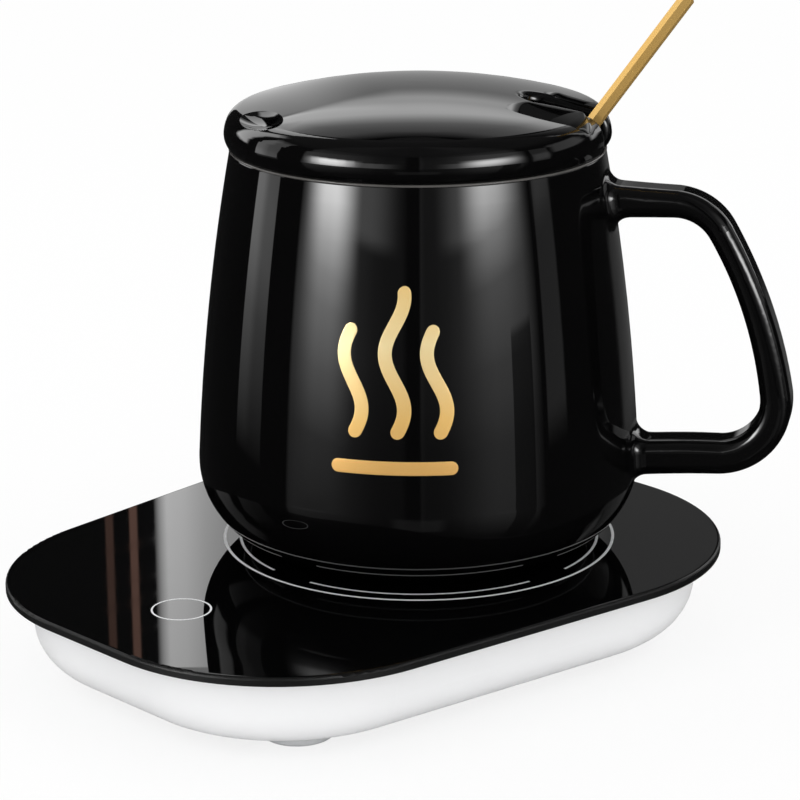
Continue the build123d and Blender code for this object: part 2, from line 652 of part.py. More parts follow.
with BuildPart() as lid:
    with BuildSketch(PROFILE_PLANE):
        with BuildLine():
            Line((SKIRT_R, MUG_H), (SEAT_R, MUG_H))
            CenterArc(EDGE_AT, LID_EDGE_R, -SEAT_TILT, SEAT_TILT + LID_BAND_LOW)
            CenterArc(BAND_AT, LID_BAND_R, LID_BAND_LOW, LID_BAND_HIGH - LID_BAND_LOW)
            CenterArc(SHOULDER_AT, LID_SHOULDER_R, LID_BAND_HIGH, 90 - LID_DOME_TILT - LID_BAND_HIGH)
            dome = CenterArc((0, DOME_Z), DOME_R, 90 - LID_DOME_TILT, LID_DOME_TILT)
            Line(dome @ 1, (0, DOME_Z + DOME_R - LID_T))
            RadiusArc((0, DOME_Z + DOME_R - LID_T), (CEILING_R, CEILING_Z), DOME_R - LID_T)
            Polyline(
                (CEILING_R, CEILING_Z),
                (CEILING_R, MUG_H - SKIRT_H),
                (SKIRT_R, MUG_H - SKIRT_H),
                (SKIRT_R, MUG_H),
            )
        make_face()
    revolve(axis=Axis.Z)
    with BuildSketch(slot_plane):
        with Locations((SLOT_INNER_R, 0)):
            Circle(SLOT_W / 2)
        with Locations((SLOT_INNER_R + LID_R / 2, 0)):
            Rectangle(LID_R, SLOT_W)
    extrude(amount=LID_R, mode=Mode.SUBTRACT)
    slot_edges = lid.edges(Select.NEW)
    fillet(slot_edges.filter_by(lambda edge: edge.center().Z > GLASS_TOP + EDGE_Z), radius=SLOT_LIP_R)
    with BuildSketch(dimple_plane):
        with BuildLine():
            ThreePointArc((-DIMPLE_SPAN, 0), (0, -DIMPLE_ROUND), (DIMPLE_SPAN, 0))
            Line((DIMPLE_SPAN, 0), (-DIMPLE_SPAN, 0))
        make_face()
    revolve(axis=Axis(dimple_at, dimple_plane.x_dir), mode=Mode.SUBTRACT)
save(lid.part, "lid")

# Spoon: a six-sided bar that runs into a shallow bowl
LEAN = radians(SPOON_LEAN)
SPOON_IN = (MUG_H - MUG_FLOOR - SPOON_REST_GAP) / cos(LEAN)
SPOON_AXIS = OUT * sin(LEAN) + Vector(0, 0, cos(LEAN))
SPOON_UP = OUT * -cos(LEAN) + Vector(0, 0, sin(LEAN))
SPOON_AT = OUT * SPOON_RIM_R + Vector(0, 0, GLASS_TOP + MUG_H)
BOWL_SAG = BOWL_ROUND - (BOWL_ROUND**2 - (BOWL_L / 2) ** 2) ** 0.5
BOWL_AT = SPOON_AT - SPOON_AXIS * (SPOON_IN - BOWL_L / 2)
BOWL_CENTRE = BOWL_AT + SPOON_UP * (BOWL_ROUND - BOWL_SAG)
NECK_AT = BOWL_AT + SPOON_AXIS * (BOWL_L / 2 - NECK_L)
with BuildPart() as spoon:
    with BuildSketch(Plane(origin=BOWL_AT - SPOON_UP * BOWL_L / 2, x_dir=SPOON_AXIS, z_dir=SPOON_UP)):
        Ellipse(BOWL_L / 2, BOWL_W / 2)
    extrude(amount=BOWL_L / 2 + BOWL_T)
    with Locations(BOWL_CENTRE):
        Sphere(BOWL_ROUND, mode=Mode.INTERSECT)
        Sphere(BOWL_ROUND - BOWL_T, mode=Mode.SUBTRACT)
    with BuildSketch(Plane(origin=NECK_AT, x_dir=SPOON_UP, z_dir=SPOON_AXIS)):
        RegularPolygon(SPOON_ACROSS / 2, 6, major_radius=False, rotation=SPOON_TURN)
    extrude(amount=SPOON_IN - BOWL_L + NECK_L + SPOON_OUT)
    chamfer(spoon.faces().sort_by(Axis(SPOON_AT, SPOON_AXIS))[-1].edges(), length=SPOON_TIP_CHAMFER)
save(spoon.part, "spoon")
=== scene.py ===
import bmesh
import bpy
import numpy as np
from mathutils import Matrix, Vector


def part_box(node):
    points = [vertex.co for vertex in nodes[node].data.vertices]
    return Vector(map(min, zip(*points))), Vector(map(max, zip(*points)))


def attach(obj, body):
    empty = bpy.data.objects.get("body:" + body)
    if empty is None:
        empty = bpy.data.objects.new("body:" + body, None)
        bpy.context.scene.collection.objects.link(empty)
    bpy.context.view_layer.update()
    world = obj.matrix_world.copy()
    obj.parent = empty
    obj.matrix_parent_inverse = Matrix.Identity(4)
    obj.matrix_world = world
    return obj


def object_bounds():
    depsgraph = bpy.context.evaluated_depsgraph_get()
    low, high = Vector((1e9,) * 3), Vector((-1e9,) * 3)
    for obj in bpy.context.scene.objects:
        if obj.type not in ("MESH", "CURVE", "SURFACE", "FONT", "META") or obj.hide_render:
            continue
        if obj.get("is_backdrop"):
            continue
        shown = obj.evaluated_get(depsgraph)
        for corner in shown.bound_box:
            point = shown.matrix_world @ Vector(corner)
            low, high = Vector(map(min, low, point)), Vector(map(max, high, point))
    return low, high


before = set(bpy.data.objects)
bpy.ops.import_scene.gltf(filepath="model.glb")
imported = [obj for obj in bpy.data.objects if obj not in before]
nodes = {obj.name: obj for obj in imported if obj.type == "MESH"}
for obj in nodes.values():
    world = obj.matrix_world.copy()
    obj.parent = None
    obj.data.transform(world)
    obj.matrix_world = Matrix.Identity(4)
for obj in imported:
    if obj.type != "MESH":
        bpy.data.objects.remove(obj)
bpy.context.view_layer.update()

# Sizes shared with the CAD model, in millimetres and degrees. Heights of the mug and lid are over the glass
MM = 0.001
GLASS_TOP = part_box("glass_plate")[1].z / MM
TOUCH_X = -65.0
INLET_AXIS_Z = 11.4
INLET_PIN_R = 1.0
MUG_H = 83.2
MUG_RIM_R = 38.0
MUG_BELLY_R = 45.7
MUG_CORNER = 17.2
MUG_FOOT_LIFT = 0.5
MUG_WALL_LEAN = 3.0
HANDLE_TURN = -56.3
LID_R = 39.2
LID_EDGE_R = 4.0
LID_EDGE_Z = 2.7
LID_BAND_R = 7.6
LID_BAND_LOW = 6.0
LID_BAND_HIGH = 23.0
LID_SHOULDER_R = 4.5
LID_DOME_TILT = 15.7

# Finishes: indices of refraction, where they change in millimetres, and the gold print's colours by height,
# whose pale middle is a painted highlight
GLAZE_IOR = 1.52
GLASS_IOR = 1.5
CLAY_TOP = 0.25  # height over the glass up to which the mug's foot is bare clay
GLAZE_START = 0.42  # height over the glass from which it is all glaze
GROUND_DEPTH = 0.12  # depth from which the glass plate's edge is ground
POLISH_DEPTH = 0.01  # depth down to which it is polished
PIN_PLATING = (0.1, 0.25)  # the plating fades out between these distances from the inlet's pin
PRINT_LOW = 24.9  # lowest height of the gold print's tones
PRINT_SPAN = 42.0
# The print's gold by share of its height; the pale stop above the middle is a painted highlight
PRINT_TONES_AND_HIGHLIGHT = [
    (0.0, (0.72, 0.36, 0.06)),
    (0.3, (0.88, 0.52, 0.12)),
    (0.66, (0.96, 0.76, 0.38)),
    (1.0, (0.90, 0.58, 0.16)),
]

# Section of a printed film: share of its half width across, and height over the surface
FILM = np.array([[-1.0, -0.02], [-1.0, 0.012], [-0.8, 0.03], [0.8, 0.03], [1.0, 0.012], [1.0, -0.02]])

# Rings printed on the glass: radius and width, and the inner ring's four arcs in degrees
OUTER_RING = (40.7, 0.6)
INNER_RING = (37.4, 0.56)
INNER_ARCS = [(-170, -98), (-82, -8), (8, 82), (98, 174)]
TOUCH_RING = (5.8, 0.4)
WHOLE_TURN = 360
RING_LEAST_POINTS = 48
RING_POINTS_PER_DEGREE = 1.2

# Gold motif on the mug: three rising waves of steam over a short bar
MOTIF_FACING = -140.4
STROKE_HALF = 1.35
STROKE_POINTS = 90
STROKE_LEAST = 0.0004  # square of the share of its width that is left at a stroke's tip
STEAM_GAP = 8.2
STEAM_LOW = 34.5
STEAM_HIGH = (56.5, 64.0, 56.5)
STEAM_SWING = 1.9
STEAM_WAVE = 22.0
BAR_LENGTH = 25.0
BAR_HEIGHT = 28.6

# The raised lips beside the spoon's slot
SHOULDER_SHARE = 0.92  # share of the shoulder's radius over which its round is followed
SWELL_POINTS = 160
SWELL_RINGS = 50
SWELL_LEAST = 0.02  # share of the oval's width that is left at the ridge, and at the middle underneath
SWELL_BELOW = np.array([[SWELL_LEAST, -0.9], [0.6, -0.9], [0.98, -0.6]])  # share and lift under the dome
SWELL_FLARE = 0.25  # how much wider the oval is at its outer end, and narrower at its inner one
SWELL_BLUNT = 0.65  # power of the cosine that blunts the outer end
SWELL_RIDGE = 0.8  # the ridge's length as a share of the oval's
SWELL_TIP = 0.6  # how far from the inner tip the ridge goes on rising, in half lengths
SWELL_SLOPE = 1.2  # power of the slope, where 1 is straight
SWELL_SEAT = 0.01  # how deep the lip sits in the dome
SLOT_SWELLS = {
    "slot_swell_near": {
        "centre": (28.4, -10.45), "half_length": 8.6, "half_width": 4.7,
        "turn": 13, "height": 1.15, "crest": 1.85,
    },
    "slot_swell_far": {
        "centre": (30.5, 6.0), "half_length": 6.6, "half_width": 1.8,
        "turn": 0, "height": 0.6, "crest": 0.4,
    },
}

# The thin line at the mug's rim: a small bead, its paler grey a painted highlight
RIM_BEAD_DROP = 0.45
RIM_BEAD_HALF = 0.26
RIM_STEP = 1.5  # degrees round the rim
BEAD_STEP = 30  # degrees round the bead

# The photograph's camera: its place, its heading from +X, its tilt from level, its roll and its lens
CAMERA_AT = np.array([-404.5686, -414.5769, 224.1116])
CAMERA_HEADING = 46.0791
CAMERA_TILT = -16.7196
CAMERA_ROLL = -0.2736
CAMERA_LENS = 131.011
CAMERA_SENSOR = 36.0
CAMERA_REACH = 60.0  # metres

# Studio: a pale floor, a white sky and soft lamps, and a dark tent with lit cards that polished surfaces show
WHITE = (1.0, 1.0, 1.0)
WARM = (1.0, 0.55, 0.42)
SKY_LEVEL = 0.95
FLOOR_CARD = 0.8  # share of plain white in what is seen of the floor
FLOOR_HALF = 12.0  # metres
FLOOR_DROP = 0.00003  # metres under the feet
FLOOR_POINTS = 9
TENT_R = 150.0  # metres
TENT_POINTS = (97, 49)

# Lamps: metres from the mug's axis to the right, away from the camera and up, then size and power
LAMPS = {
    "key_lamp": ((-0.9, -1.0, 1.3), 1.4, 4.0),
    "front_lamp": ((0.0, -1.3, 0.45), 0.9, 2.4),
    "fill_lamp": ((1.3, -0.6, 1.0), 1.4, 2.0),
}
LAMP_AIM_Z = 0.06  # height that the lamps look at, in metres

# The tent's lights, in degrees: up from level, and to the right, round from the camera's side (front) or
# from the far side (back). A list has pairs of angle and level. Four numbers are a window: its start, its
# end and its two soft edges. Two are where a smooth step starts and ends.
TENT_CLOTH = 0.012
TENT_TOP = 0.06
TENT_TOP_UP = (30, 50)
LEFT_BOX_FRONT = (-55, -49.5, 15.5, 17.5)
LEFT_BOX_UP = [
    (-14, 0), (-9, 0.2), (-5, 1.05), (-1, 2.4), (1, 4.0), (3, 7.2), (6, 14), (11, 17), (14, 14), (18, 0),
]
RIGHT_BOX_FRONT = (41, 44, 19, 23)
RIGHT_BOX_UP = [(-4, 0), (1, 0.6), (4, 3.0), (6.5, 8), (9, 12), (13, 12), (16, 7), (20, 0)]
CURTAIN_FRONT = [
    (-72, 0), (-70, 0.5), (-66, 0.6), (-45, 0.45), (-33, 0.26), (-24, 0.13), (-18, 0.095), (-9, 0.08),
    (-5.5, 0), (0.5, 0), (1.6, 0.18), (4, 0.11), (10, 0.12), (16, 0.17), (22, 0.28), (28, 0.45), (35, 0.68),
    (41, 0.79), (50, 0.78), (60, 0.6), (68, 0),
]
CURTAIN_UP = [
    (-40, 0.03), (-25, 0.2), (-14, 0.38), (-9, 0.5), (-6, 0.8), (-3, 1.0), (20, 1.0), (45, 0.1),
]
FLAG_FRONT = (50.6, 62, 0.5, 0.5)
FLAG_TOP = (-3, -2)
FLAG_DARK = 0.78
LEFT_STRIP_FRONT = (-109, -90, 0.6, 0.6)
LEFT_STRIP_UP = [
    (-13, 0), (-9, 0.44), (-6, 0.8), (-3, 1.5), (0, 1.8), (8, 1.4), (15, 1.3), (32, 1.3), (40, 0),
]
LEFT_STRIP_FADE = 0.38
LEFT_STRIP_FADE_FRONT = (-104, -97)
PANEL_BACK = [
    (-5.52, 0), (-5.40, 1.2), (-5.25, 2.15), (-4.9, 2.0), (-4.45, 1.5), (-4.0, 1.2), (-2, 1.0), (2, 0.6),
    (4, 0.14), (6.5, 0.14), (8, 0),
]
PANEL_UP = (18.2, 24, 0.7, 6)
SECOND_DIM = 0.6  # share of the tent's light that a reflection of a reflection loses
SECOND_RAYS = (1.2, 1.8)  # ray depths between a first reflection and a second

# Plain patches of light on the tent: level, window round and window up
FRONT_PATCHES = {
    "right_edge": (0.25, (71, 82, 1, 2), (-8, 20, 3, 10)),
    "right_edge_spot": (0.4, (74, 80, 6, 6), (5, 10, 4, 6)),
    "right_side": (0.5, (90, 112, 6, 8), (10, 25, 3, 5)),
    "left_roll_glow": (0.9, (-32, -28, 13, 20), (5, 11, 1.5, 3)),
    "right_roll_glow": (0.9, (28, 32, 20, 13), (5, 11, 1.5, 3)),
    "low_front": (0.1, (-10, 10, 6, 6), (-29, -18, 4, 4)),
}
BACK_PATCHES = {
    "behind_left": (2.6, (-58, -46, 5, 4), (5, 40, 3, 8)),
    "behind_right": (1.6, (32, 54, 5, 5), (5, 40, 3, 8)),
    "low_behind": (0.6, (-9, 9, 5, 5), (-4, 3, 5, 6)),
    "low_right": (0.1, (14, 40, 6, 8), (-14, -9, 3, 4)),
}
WARM_PATCHES = {
    "outer_line": (0.2, (-6.5, -6.4, 0.06, 0.06), PANEL_UP),
    "inner_line": (0.4, (-6.0, -5.9, 0.06, 0.06), PANEL_UP),
}

# Cards behind the mug, in millimetres: sides to the right of its axis, and heights
CARD_AWAY = 120.0
CARD_POINTS = 9
LID_PANEL = ((-64, 75), (100, 246))
DIMPLE_CARD = ((-130, -64.1), (160, 305))
RIGHT_CARD = ((75.1, 230), (150, 345))

# The lid's panel: a bright band over a dim one
BAND_LINE = 176  # height of the line between them
BAND_LINE_SOFT = [(-64, 2), (-50, 2), (-32, 8), (-8, 24), (75, 26)]  # the line's half softness by side
BAND_LINE_TOP = 0.9  # share of that softness above the line
BAND_UP = [
    (195, 2.0), (202, 2.0), (208, 1.6), (214, 1.1), (221, 0.65), (229, 0.47), (237, 0.36), (242, 0.15),
    (246, 0),
]
BAND_BOW = 0.0055  # how far the bright band sinks at its sides, per millimetre squared
DIM_LEVEL = 0.43
DIM_LEFT = 0.37  # added at the left
DIM_LEFT_SIDES = (-42, -12)
DIM_TOP = (170, 182)
CORNER_DARK = 0.6  # share taken from the dim band's lower right corner
CORNER_SIDES = (45, 58)
CORNER_TOP = (140, 152)

# The dimple's card, cut along a slant, and the right card's levels by height
DIMPLE_LEVEL = 2.2
DIMPLE_CUT = (-79, 180)  # a place on the slant
DIMPLE_SLANT = 0.71  # how far the slant goes left for each millimetre up
DIMPLE_CUT_SOFT = 3
DIMPLE_LOW = (160, 170)
RIGHT_CARD_UP = [
    (150, 0), (165, 1.1), (178, 1.7), (191, 1.5), (205, 0.7), (219, 0.3), (280, 0.1), (345, 0),
]


def flat_direction(degrees):
    """The unit vector at an angle in a plane: its cosine and its sine."""
    return np.array([np.cos(np.radians(degrees)), np.sin(np.radians(degrees))])


# The lid's profile by radius and height: its edge arcs' centres, the dome's end and the dome's sphere
EDGE_AT = np.array([LID_R - LID_EDGE_R, MUG_H + LID_EDGE_Z])
BAND_AT = EDGE_AT + (LID_EDGE_R - LID_BAND_R) * flat_direction(LID_BAND_LOW)
SHOULDER_AT = BAND_AT + (LID_BAND_R - LID_SHOULDER_R) * flat_direction(LID_BAND_HIGH)
DOME_END = SHOULDER_AT + LID_SHOULDER_R * flat_direction(90 - LID_DOME_TILT)
DOME_R = DOME_END[0] / np.sin(np.radians(LID_DOME_TILT))
DOME_Z = DOME_END[1] - DOME_R * np.cos(np.radians(LID_DOME_TILT))

# Level directions from the camera to the mug's axis, and to the right across it, for the studio
UP = np.array([0.0, 0.0, 1.0])
AWAY = -CAMERA_AT * [1, 1, 0] / np.hypot(*CAMERA_AT[:2])
ACROSS = np.cross(AWAY, UP)


class Wire:
    """A value in a material. Sums written with it add Math nodes."""

    def __init__(self, finish, socket):
        self.finish = finish
        self.socket = socket

    def _sum(self, operation, first, second):
        return self.finish.add("ShaderNodeMath", {"operation": operation}, {0: first, 1: second})

    def __add__(self, other):
        return self._sum("ADD", self, other)

    __radd__ = __add__

    def __mul__(self, other):
        return self._sum("MULTIPLY", self, other)

    __rmul__ = __mul__

    def __sub__(self, other):
        return self._sum("SUBTRACT", self, other)

    def __rsub__(self, other):
        return self._sum("SUBTRACT", other, self)

    def __truediv__(self, other):
        return self._sum("DIVIDE", self, other)

    def __rtruediv__(self, other):
        return self._sum("DIVIDE", other, self)

    def __pow__(self, other):
        return self._sum("POWER", self, other)

    def bend(self, other):
        """The angle, in degrees, whose tangent is self over other."""
        return self._sum("ARCTAN2", self, other) * np.degrees(1.0)


class Finish:
    """A material being made. add() makes any node, and the last call gives the surface."""

    def __init__(self, name):
        self.material = bpy.data.materials.new(name)
        self.material.use_nodes = True
        self.tree = self.material.node_tree
        self.tree.nodes.clear()
        self.output = self.tree.nodes.new("ShaderNodeOutputMaterial")

    def add(self, kind, settings=None, sockets=None, out=0):
        """One node: its type, its settings, then the values or links of its sockets."""
        node = self.tree.nodes.new(kind)
        for key, value in (settings or {}).items():
            if key == "stops":
                ramp = node.color_ramp
                while len(ramp.elements) < len(value):
                    ramp.elements.new(0.5)
                for element, (position, colour) in zip(ramp.elements, value):
                    element.position = position
                    element.color = (*colour, 1.0)
            else:
                setattr(node, key, value)
        for key, value in (sockets or {}).items():
            if isinstance(value, Wire):
                self.tree.links.new(value.socket, node.inputs[key])
            elif hasattr(value, "__len__") and len(value) == 3 and node.inputs[key].type == "RGBA":
                node.inputs[key].default_value = (*value, 1.0)
            else:
                node.inputs[key].default_value = value
        return Wire(self, node.outputs[out])

    def place(self):
        """Object coordinates."""
        return self.add("ShaderNodeTexCoord", out="Object")

    def stretched(self, scale, turn=0.0):
        """Object coordinates turned about the upright axis and scaled, for a pattern that has a direction."""
        sockets = {"Vector": self.place(), "Rotation": (0.0, 0.0, turn), "Scale": scale}
        return self.add("ShaderNodeMapping", {"vector_type": "POINT"}, sockets)

    def parts(self, vector):
        """The three numbers of a vector."""
        split = self.add("ShaderNodeSeparateXYZ", None, {0: vector})
        return [Wire(self, socket) for socket in split.socket.node.outputs]

    def along(self, vector, direction):
        """How far a vector goes in one direction."""
        sockets = {0: vector, 1: tuple(direction)}
        return self.add("ShaderNodeVectorMath", {"operation": "DOT_PRODUCT"}, sockets, out="Value")

    def noise(self, vector, scale, detail=3.0, roughness=0.5):
        """Cloudy noise between 0 and 1."""
        sockets = {"Vector": vector, "Scale": scale, "Detail": detail, "Roughness": roughness}
        return self.add("ShaderNodeTexNoise", None, sockets, out="Fac")

    def rise(self, value, start, end):
        """0 up to start, 1 from end on, and a smooth step between them."""
        sockets = {"Value": value, "From Min": start, "From Max": end}
        return self.add("ShaderNodeMapRange", {"interpolation_type": "SMOOTHSTEP"}, sockets)

    def window(self, value, start, end, soft_start, soft_end):
        """1 between start and end, falling smoothly to 0 over soft_start and soft_end outside them."""
        return self.rise(value, start - soft_start, start) * (1 - self.rise(value, end, end + soft_end))

    def ramp(self, value, stops):
        """Straight runs between pairs of value and level."""
        first, last = stops[0][0], stops[-1][0]
        most = max(level for _, level in stops)
        share = (value - first) / (last - first)
        greys = [((at - first) / (last - first), (level / most,) * 3) for at, level in stops]
        return most * self.add("ShaderNodeValToRGB", {"stops": greys}, {"Fac": share}, out="Color")

    def mix(self, share, first, second):
        """A colour between two colours."""
        return self.add("ShaderNodeMix", {"data_type": "RGBA"}, {0: share, 6: first, 7: second}, out=2)

    def bump(self, height, strength, distance):
        """A normal that leans with a height, over a distance in metres."""
        sockets = {"Strength": strength, "Distance": distance, "Height": height}
        return self.add("ShaderNodeBump", None, sockets)

    def show(self, shader):
        """Finish with any shader, and give the material."""
        self.tree.links.new(shader.socket, self.output.inputs["Surface"])
        return self.material

    def surface(self, sockets):
        """Finish as a Principled surface, and give the material."""
        return self.show(self.add("ShaderNodeBsdfPrincipled", None, sockets))

    def glow(self, colour, level):
        """Finish as a light panel, its colour scaled by its level, and give the material.
        Polished surfaces find the panel by reflection alone, so it isn't sampled as a lamp."""
        lit = self.add("ShaderNodeVectorMath", {"operation": "SCALE"}, {0: colour, "Scale": level})
        self.material.cycles.emission_sampling = "NONE"
        return self.show(self.add("ShaderNodeEmission", None, {"Color": lit, "Strength": 1.0}))


# Finishes


def black_glaze():
    """Deep black fired glaze, slightly wavy, with bare clay on the ring that the mug stands on."""
    f = Finish("black_glaze")
    place = f.place()
    z = f.parts(place)[2]
    bare = 1 - f.rise(z, (GLASS_TOP + CLAY_TOP) * MM, (GLASS_TOP + GLAZE_START) * MM)
    pool = f.noise(place, scale=38.0, detail=4.0)
    speck = f.noise(place, scale=900.0, detail=2.0)
    waves = f.noise(place, scale=85.0, detail=1.0)
    glaze = f.mix(pool, (0.0010, 0.0010, 0.0011), (0.0022, 0.0021, 0.0022))
    clay = f.mix(speck, (0.40, 0.36, 0.31), (0.58, 0.53, 0.46))
    return f.surface({
        "Base Color": f.mix(bare, glaze, clay),
        "Roughness": 0.016 + 0.014 * pool + 0.75 * bare,
        "IOR": GLAZE_IOR,
        "Normal": f.bump(waves, strength=0.025, distance=0.0003),
    })


def black_glass():
    """Polished glass, printed black underneath, with a trace of wiping marks and a ground edge."""
    f = Finish("black_glass")
    place = f.place()
    z = f.parts(place)[2]
    ground = 1 - f.rise(z, (GLASS_TOP - GROUND_DEPTH) * MM, (GLASS_TOP - POLISH_DEPTH) * MM)
    wipe = f.noise(f.stretched(scale=(1.0, 5.0, 1.0), turn=0.6), scale=30.0, detail=4.0)
    depth = f.noise(place, scale=20.0, detail=2.0)
    return f.surface({
        "Base Color": f.mix(depth, (0.0009, 0.0009, 0.0010), (0.0018, 0.0018, 0.0019)),
        "Roughness": 0.012 + 0.02 * f.rise(wipe, 0.45, 0.8) + 0.45 * ground,
        "IOR": GLASS_IOR,
    })


def white_ink():
    """Fired white print on the glass, a little uneven in its cover."""
    f = Finish("white_ink")
    cover = f.noise(f.place(), scale=1500.0)
    return f.surface({
        "Base Color": f.mix(cover, (0.78, 0.79, 0.80), (0.92, 0.93, 0.94)),
        "Roughness": 0.4 + 0.2 * cover,
    })


def moulded(name, dark, pale, rough, grain):
    """A moulded plastic: fine spark-eroded grain and slight clouding of its colour."""
    f = Finish(name)
    place = f.place()
    cloud = f.noise(place, scale=25.0)
    fine = f.noise(place, scale=grain, detail=2.0, roughness=0.6)
    return f.surface({
        "Base Color": f.mix(cloud, dark, pale),
        "Roughness": rough - 0.06 + 0.12 * fine,
        "Normal": f.bump(fine, strength=0.12, distance=0.00006),
    })


def brushed(name, dark, pale, rough, stretch, turn=0.0):
    """A brushed metal: fine lines where its noise is stretched, and a slow drift in tone."""
    f = Finish(name)
    lines = f.noise(f.stretched(stretch, turn), scale=1.0, detail=4.0, roughness=0.65)
    drift = f.noise(f.place(), scale=45.0, detail=2.0)
    tone = f.rise(0.6 * lines + 0.4 * drift, 0.3, 0.7)
    return f.surface({
        "Base Color": f.mix(tone, dark, pale),
        "Metallic": 1.0,
        "Roughness": rough + 0.14 * (lines - 0.5),
        "Normal": f.bump(lines, strength=0.12, distance=0.00004),
    })


def satin_gold():
    """Satin gold plating, with a slow drift in tone and polish."""
    f = Finish("spoon_gold")
    drift = f.noise(f.place(), scale=60.0, detail=2.0)
    return f.surface({
        "Base Color": f.mix(drift, (0.94, 0.56, 0.15), (1.0, 0.65, 0.22)),
        "Metallic": 0.64 + 0.06 * drift,
        "Roughness": 0.11 + 0.05 * drift,
    })


def gold_print():
    """Gold transfer print, amber at the ends and palest above its middle, where the pale band is a painted
    highlight over the gold, with a fine metal flake.
    """
    f = Finish("gold_print")
    place = f.place()
    z = f.parts(place)[2]
    flake = f.noise(place, scale=5200.0, detail=2.0)
    drift = f.noise(place, scale=70.0, detail=2.0)
    height = (z - (GLASS_TOP + PRINT_LOW) * MM) / (PRINT_SPAN * MM) + 0.25 * (drift - 0.5)
    # painted highlight: the ramp is palest above the print's middle
    tone = f.add("ShaderNodeValToRGB", {"stops": PRINT_TONES_AND_HIGHLIGHT}, {"Fac": height}, out="Color")
    return f.surface({
        "Base Color": f.mix(0.2 * flake, tone, (1.0, 0.92, 0.70)),
        "Metallic": 0.3 + 0.2 * flake,
        "Roughness": 0.3 + 0.12 * flake,
    })


def rim_painted_highlight():
    """A painted highlight for the line at the rim: a greyer, softer black than the glaze, so the line shows
    pale all round, with real reflections on its round section.
    """
    f = Finish("rim_painted_highlight")
    run = f.noise(f.place(), scale=160.0)
    return f.surface({
        # painted highlight: this paler grey stands in for the rim line's highlight
        "Base Color": f.mix(run, (0.05, 0.048, 0.045), (0.12, 0.115, 0.11)),
        "Roughness": 0.12 + 0.08 * run,
        "IOR": GLAZE_IOR,
    })


def soft(name, dark, pale, rough, fibre_scale):
    """A matt, open-textured finish such as rubber, foam or fibre."""
    f = Finish(name)
    fibre = f.noise(f.place(), scale=fibre_scale, detail=4.0, roughness=0.7)
    return f.surface({
        "Base Color": f.mix(fibre, dark, pale),
        "Roughness": rough + 0.1 * (fibre - 0.5),
        "Normal": f.bump(fibre, strength=0.35, distance=0.0001),
    })


def socket_plastic():
    """The inlet's black plastic, with a plated pin inside its bore."""
    f = Finish("inlet_plastic")
    place = f.place()
    _, y, z = f.parts(place)
    over = z - INLET_AXIS_Z * MM
    from_axis = (y * y + over * over) ** 0.5
    pin = 1 - f.rise(from_axis, (INLET_PIN_R + PIN_PLATING[0]) * MM, (INLET_PIN_R + PIN_PLATING[1]) * MM)
    fine = f.noise(place, scale=2600.0, detail=2.0)
    plastic = f.mix(fine, (0.012, 0.012, 0.013), (0.03, 0.03, 0.032))
    return f.surface({
        "Base Color": f.mix(pin, plastic, (0.78, 0.74, 0.62)),
        "Metallic": pin,
        "Roughness": 0.5 - 0.25 * pin + 0.1 * fine,
        "Normal": f.bump(fine, strength=0.1, distance=0.00005),
    })


finishes = {
    "glass_plate": black_glass(),
    "mug": black_glaze(),
    "spoon": satin_gold(),
    "power_inlet": socket_plastic(),
    "housing_tub": moulded("white_plastic", (0.87, 0.872, 0.88), (0.905, 0.907, 0.912), 0.42, 2400.0),
    "panel_frame": moulded("frame_plastic", (0.66, 0.66, 0.65), (0.76, 0.76, 0.75), 0.5, 1800.0),
    "heating_film": moulded("amber_film", (0.50, 0.21, 0.03), (0.66, 0.33, 0.07), 0.3, 700.0),
    "temperature_sensor": moulded("sensor_cup", (0.20, 0.20, 0.21), (0.30, 0.30, 0.31), 0.45, 1500.0),
    "control_board": moulded("board_laminate", (0.012, 0.10, 0.045), (0.03, 0.17, 0.08), 0.4, 900.0),
    "indicator_led": moulded("led_lens", (0.70, 0.74, 0.72), (0.88, 0.90, 0.88), 0.2, 1200.0),
    "inlet_leads": moulded("red_lead", (0.42, 0.02, 0.02), (0.58, 0.04, 0.035), 0.45, 1500.0),
    "heater_leads": moulded("white_lead", (0.70, 0.70, 0.68), (0.82, 0.82, 0.80), 0.5, 1500.0),
    "insulation_pad": soft("insulation_fibre", (0.60, 0.58, 0.53), (0.86, 0.84, 0.79), 0.95, 1300.0),
    "touch_foam": soft("dark_foam", (0.02, 0.02, 0.022), (0.07, 0.07, 0.075), 0.95, 2200.0),
    "glass_adhesive": soft("adhesive", (0.03, 0.03, 0.03), (0.08, 0.08, 0.08), 0.8, 1500.0),
    "foot_1": soft("foot_rubber", (0.60, 0.61, 0.62), (0.70, 0.71, 0.72), 0.6, 1600.0),
    "housing_screws": brushed("screw_steel", (0.42, 0.42, 0.43), (0.70, 0.70, 0.71), 0.32, (900, 900, 900)),
    "thermal_cutout": brushed("cutout_can", (0.50, 0.50, 0.50), (0.76, 0.76, 0.75), 0.3, (900, 900, 60)),
    "heater_plate": brushed(
        "spreader_aluminium", (0.62, 0.63, 0.64), (0.84, 0.85, 0.86), 0.3, (60, 1500, 60), turn=0.4,
    ),
    "heater_bracket": brushed(
        "bracket_steel", (0.44, 0.45, 0.46), (0.70, 0.71, 0.72), 0.36, (80, 1300, 80), turn=0.2,
    ),
}
for twin, first in {
    "lid": "mug", "bracket_screws": "housing_screws", "board_screws": "housing_screws",
    "foot_2": "foot_1", "foot_3": "foot_1", "foot_4": "foot_1",
}.items():
    finishes[twin] = finishes[first]
for name, finish in finishes.items():
    nodes[name].data.materials.clear()
    nodes[name].data.materials.append(finish)


# Pieces worked out with numpy, in millimetres


def grid_faces(index):
    """Four-sided faces between the neighbours in a grid of point numbers."""
    corners = [index[:-1, :-1], index[1:, :-1], index[1:, 1:], index[:-1, 1:]]
    return np.stack(corners, axis=-1).reshape(-1, 4).tolist()


def show_mesh(name, mesh, finish):
    """A mesh as an object at the origin, in its finish."""
    mesh.materials.append(finish)
    piece = bpy.data.objects.new(name, mesh)
    bpy.context.scene.collection.objects.link(piece)
    return piece


